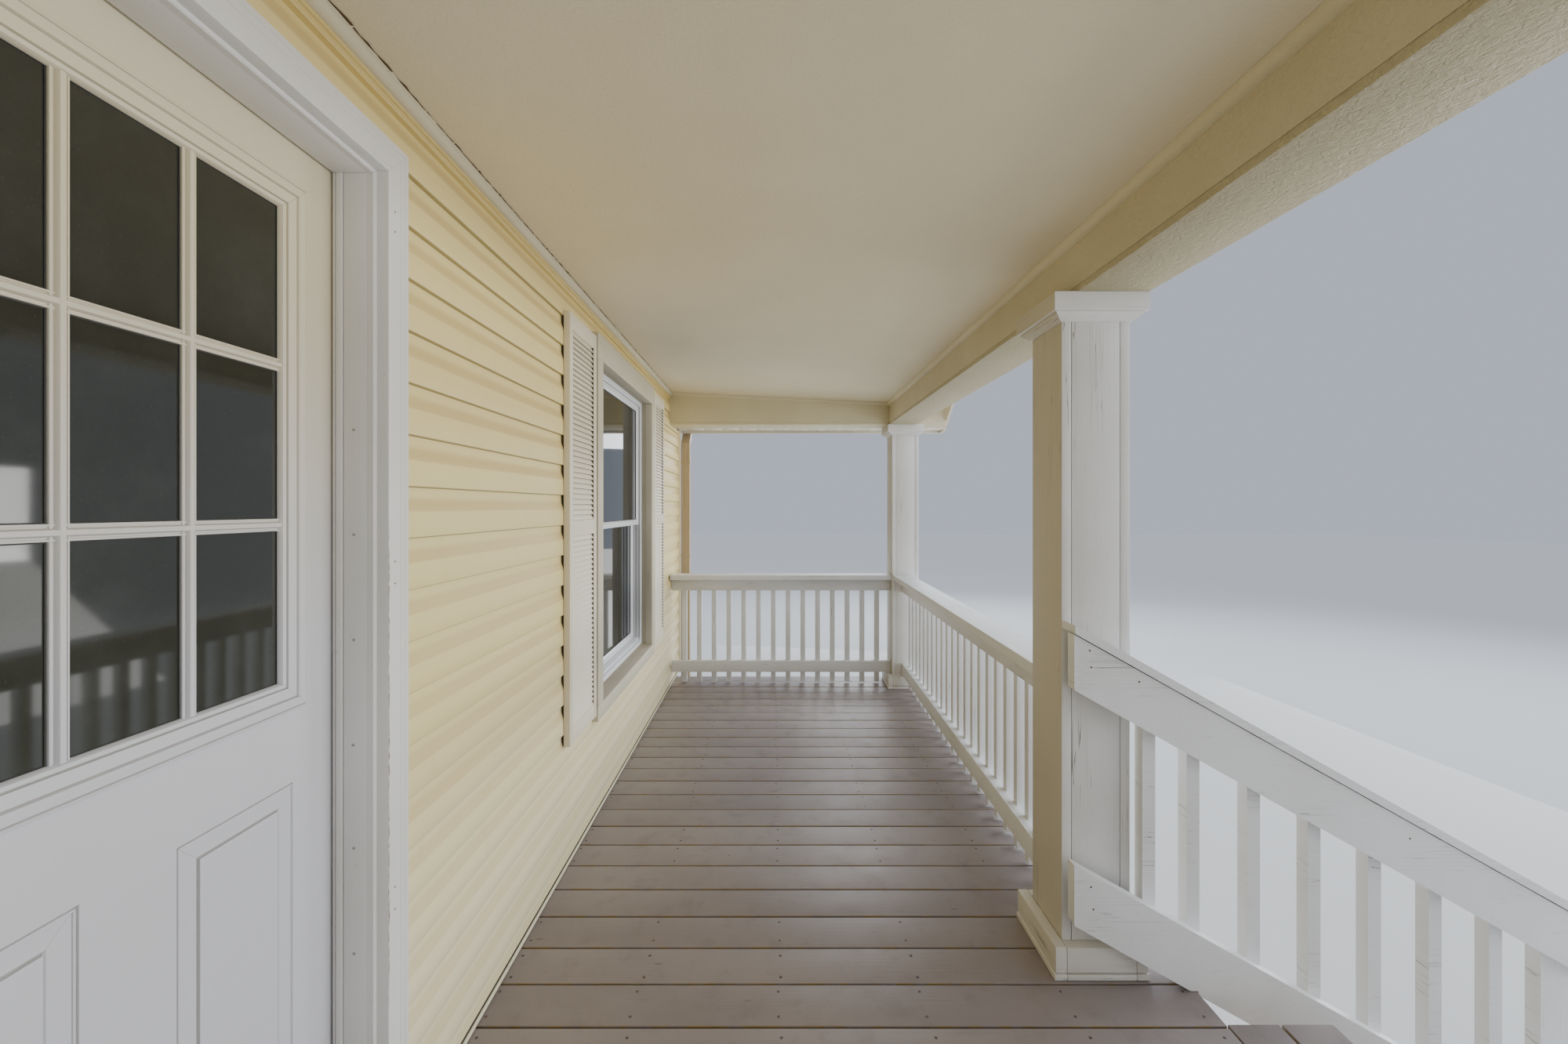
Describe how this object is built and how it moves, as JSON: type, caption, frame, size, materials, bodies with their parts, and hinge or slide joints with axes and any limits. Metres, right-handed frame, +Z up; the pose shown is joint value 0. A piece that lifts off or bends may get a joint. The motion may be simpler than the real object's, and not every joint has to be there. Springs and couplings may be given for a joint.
{
  "type": "front porch",
  "caption": "Timber front porch on square posts under a gable roof, with railings, steps, and the house wall behind it with a hinged door, a window and louvred shutters.",
  "frame": {"origin": "ground level under the middle of the whole object", "axes": "+X along the house wall to the right as seen from the street, -Y towards the street, +Z up"},
  "size_m": [6.12, 3.386, 4.8261],
  "materials": {
    "foundation_wall": "rough concrete block",
    "wall_left": "framed wall, matt",
    "wall_right": "framed wall, matt",
    "wall_over_door": "framed wall, matt",
    "wall_gable": "framed wall, matt",
    "siding": "vinyl lap siding",
    "corner_trim": "vinyl trim",
    "door_frame": "painted",
    "door_casing": "painted",
    "door_sill": "worn threshold",
    "door_hinges": "satin",
    "door_leaf": "painted steel skin",
    "door_light_frame": "moulded frame",
    "door_glass": "clear",
    "door_knobs": "satin",
    "door_hinge_leaves": "satin",
    "window_frame": "vinyl",
    "window_casing": "painted",
    "window_sashes": "vinyl",
    "window_glass": "clear",
    "shutters": "moulded",
    "deck_floor": "worn paint",
    "deck_rim": "painted",
    "deck_joists": "bare",
    "deck_piers": "concrete block and bare timber",
    "posts": "painted",
    "plinths": "painted",
    "capitals": "painted",
    "front_beam": "rough paint",
    "end_beams": "rough paint",
    "ceiling": "rough paint",
    "ceiling_trim": "painted",
    "soffits": "vinyl soffit",
    "fascia_boards": "painted",
    "eave_ends": "painted",
    "gable_wall": "framed wall",
    "gable_siding": "vinyl lap siding",
    "roof_left": "asphalt shingles",
    "roof_right": "asphalt shingles",
    "ridge_cap": "asphalt shingles",
    "gutters": "coated",
    "downspouts": "coated",
    "front_railing": "painted",
    "end_railings": "painted",
    "stair_rails": "painted",
    "newels": "painted",
    "stair_stringers": "bare",
    "stair_treads": "worn paint"
  },
  "bodies": {
    "porch": {"foundation_wall": "foundation_wall", "wall_left": "wall_left", "wall_right": "wall_right", "wall_over_door": "wall_over_door", "wall_gable": "wall_gable", "siding": "siding", "corner_trim": "corner_trim", "door_frame": "door_frame", "door_casing": "door_casing", "door_sill": "door_sill", "door_hinges": "door_hinges", "window_frame": "window_frame", "window_casing": "window_casing", "window_sashes": "window_sashes", "window_glass": "window_glass", "shutters": "shutters", "deck_floor": "deck_floor", "deck_rim": "deck_rim", "deck_joists": "deck_joists", "deck_piers": "deck_piers", "posts": "posts", "plinths": "plinths", "capitals": "capitals", "front_beam": "front_beam", "end_beams": "end_beams", "ceiling": "ceiling", "ceiling_trim": "ceiling_trim", "soffits": "soffits", "fascia_boards": "fascia_boards", "eave_ends": "eave_ends", "gable_wall": "gable_wall", "gable_siding": "gable_siding", "roof_left": "roof_left", "roof_right": "roof_right", "ridge_cap": "ridge_cap", "gutters": "gutters", "downspouts": "downspouts", "front_railing": "front_railing", "end_railings": "end_railings", "stair_rails": "stair_rails", "newels": "newels", "stair_stringers": "stair_stringers", "stair_treads": "stair_treads"},
    "door": {"door_leaf": "door_leaf", "door_light_frame": "door_light_frame", "door_glass": "door_glass", "door_knobs": "door_knobs", "door_hinge_leaves": "door_hinge_leaves"}
  },
  "joints": [
    {"name": "door_hinge", "type": "hinge", "parent": "porch", "child": "door", "pos_m": [-1.0565, 1.627, 1.5], "axis": [0, 0, -1], "range_deg": [0, 95]}
  ]
}
